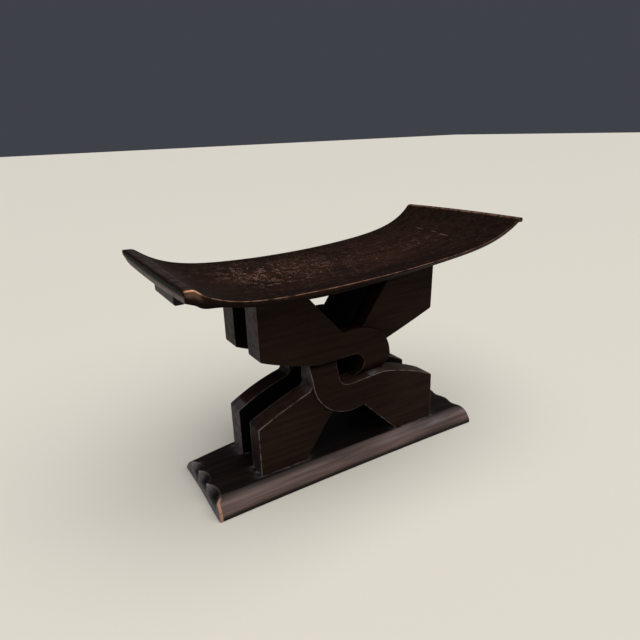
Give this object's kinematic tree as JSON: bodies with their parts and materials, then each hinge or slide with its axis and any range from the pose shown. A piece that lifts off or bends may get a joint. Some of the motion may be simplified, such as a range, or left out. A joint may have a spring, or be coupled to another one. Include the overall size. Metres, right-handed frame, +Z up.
{
  "type": "ashanti stool",
  "caption": "Low stool of traditional Ashanti form: an upswept concave seat plank on parallel interlaced-knot panels that stand on a flat plank base, in ebonised wood.",
  "frame": {"origin": "Middle of the base's footprint, on the surface that the stool stands on, under the middle of the seat's length and width.", "axes": "+X runs along the seat to the end with the slightly higher tip, +Y runs across the seat from the front to the rear, +Z is up."},
  "size_m": [0.57, 0.276, 0.3877],
  "materials": {
    "seat_wood": "satin, worn",
    "lug_wood": "satin",
    "panel_wood": "satin",
    "base_wood": "satin, worn",
    "dowel_wood": "matt, bare"
  },
  "bodies": {
    "root": {"seat": "seat_wood", "left_grip_lug": "lug_wood", "right_grip_lug": "lug_wood", "base": "base_wood", "front_upper_hook": "panel_wood", "front_lower_hook": "panel_wood", "front_upper_arm": "panel_wood", "front_lower_arm": "panel_wood", "rear_upper_hook": "panel_wood", "rear_lower_hook": "panel_wood", "rear_upper_arm": "panel_wood", "rear_lower_arm": "panel_wood", "seat_dowels": "dowel_wood", "base_dowels": "dowel_wood", "lug_dowels": "dowel_wood"}
  },
  "joints": []
}
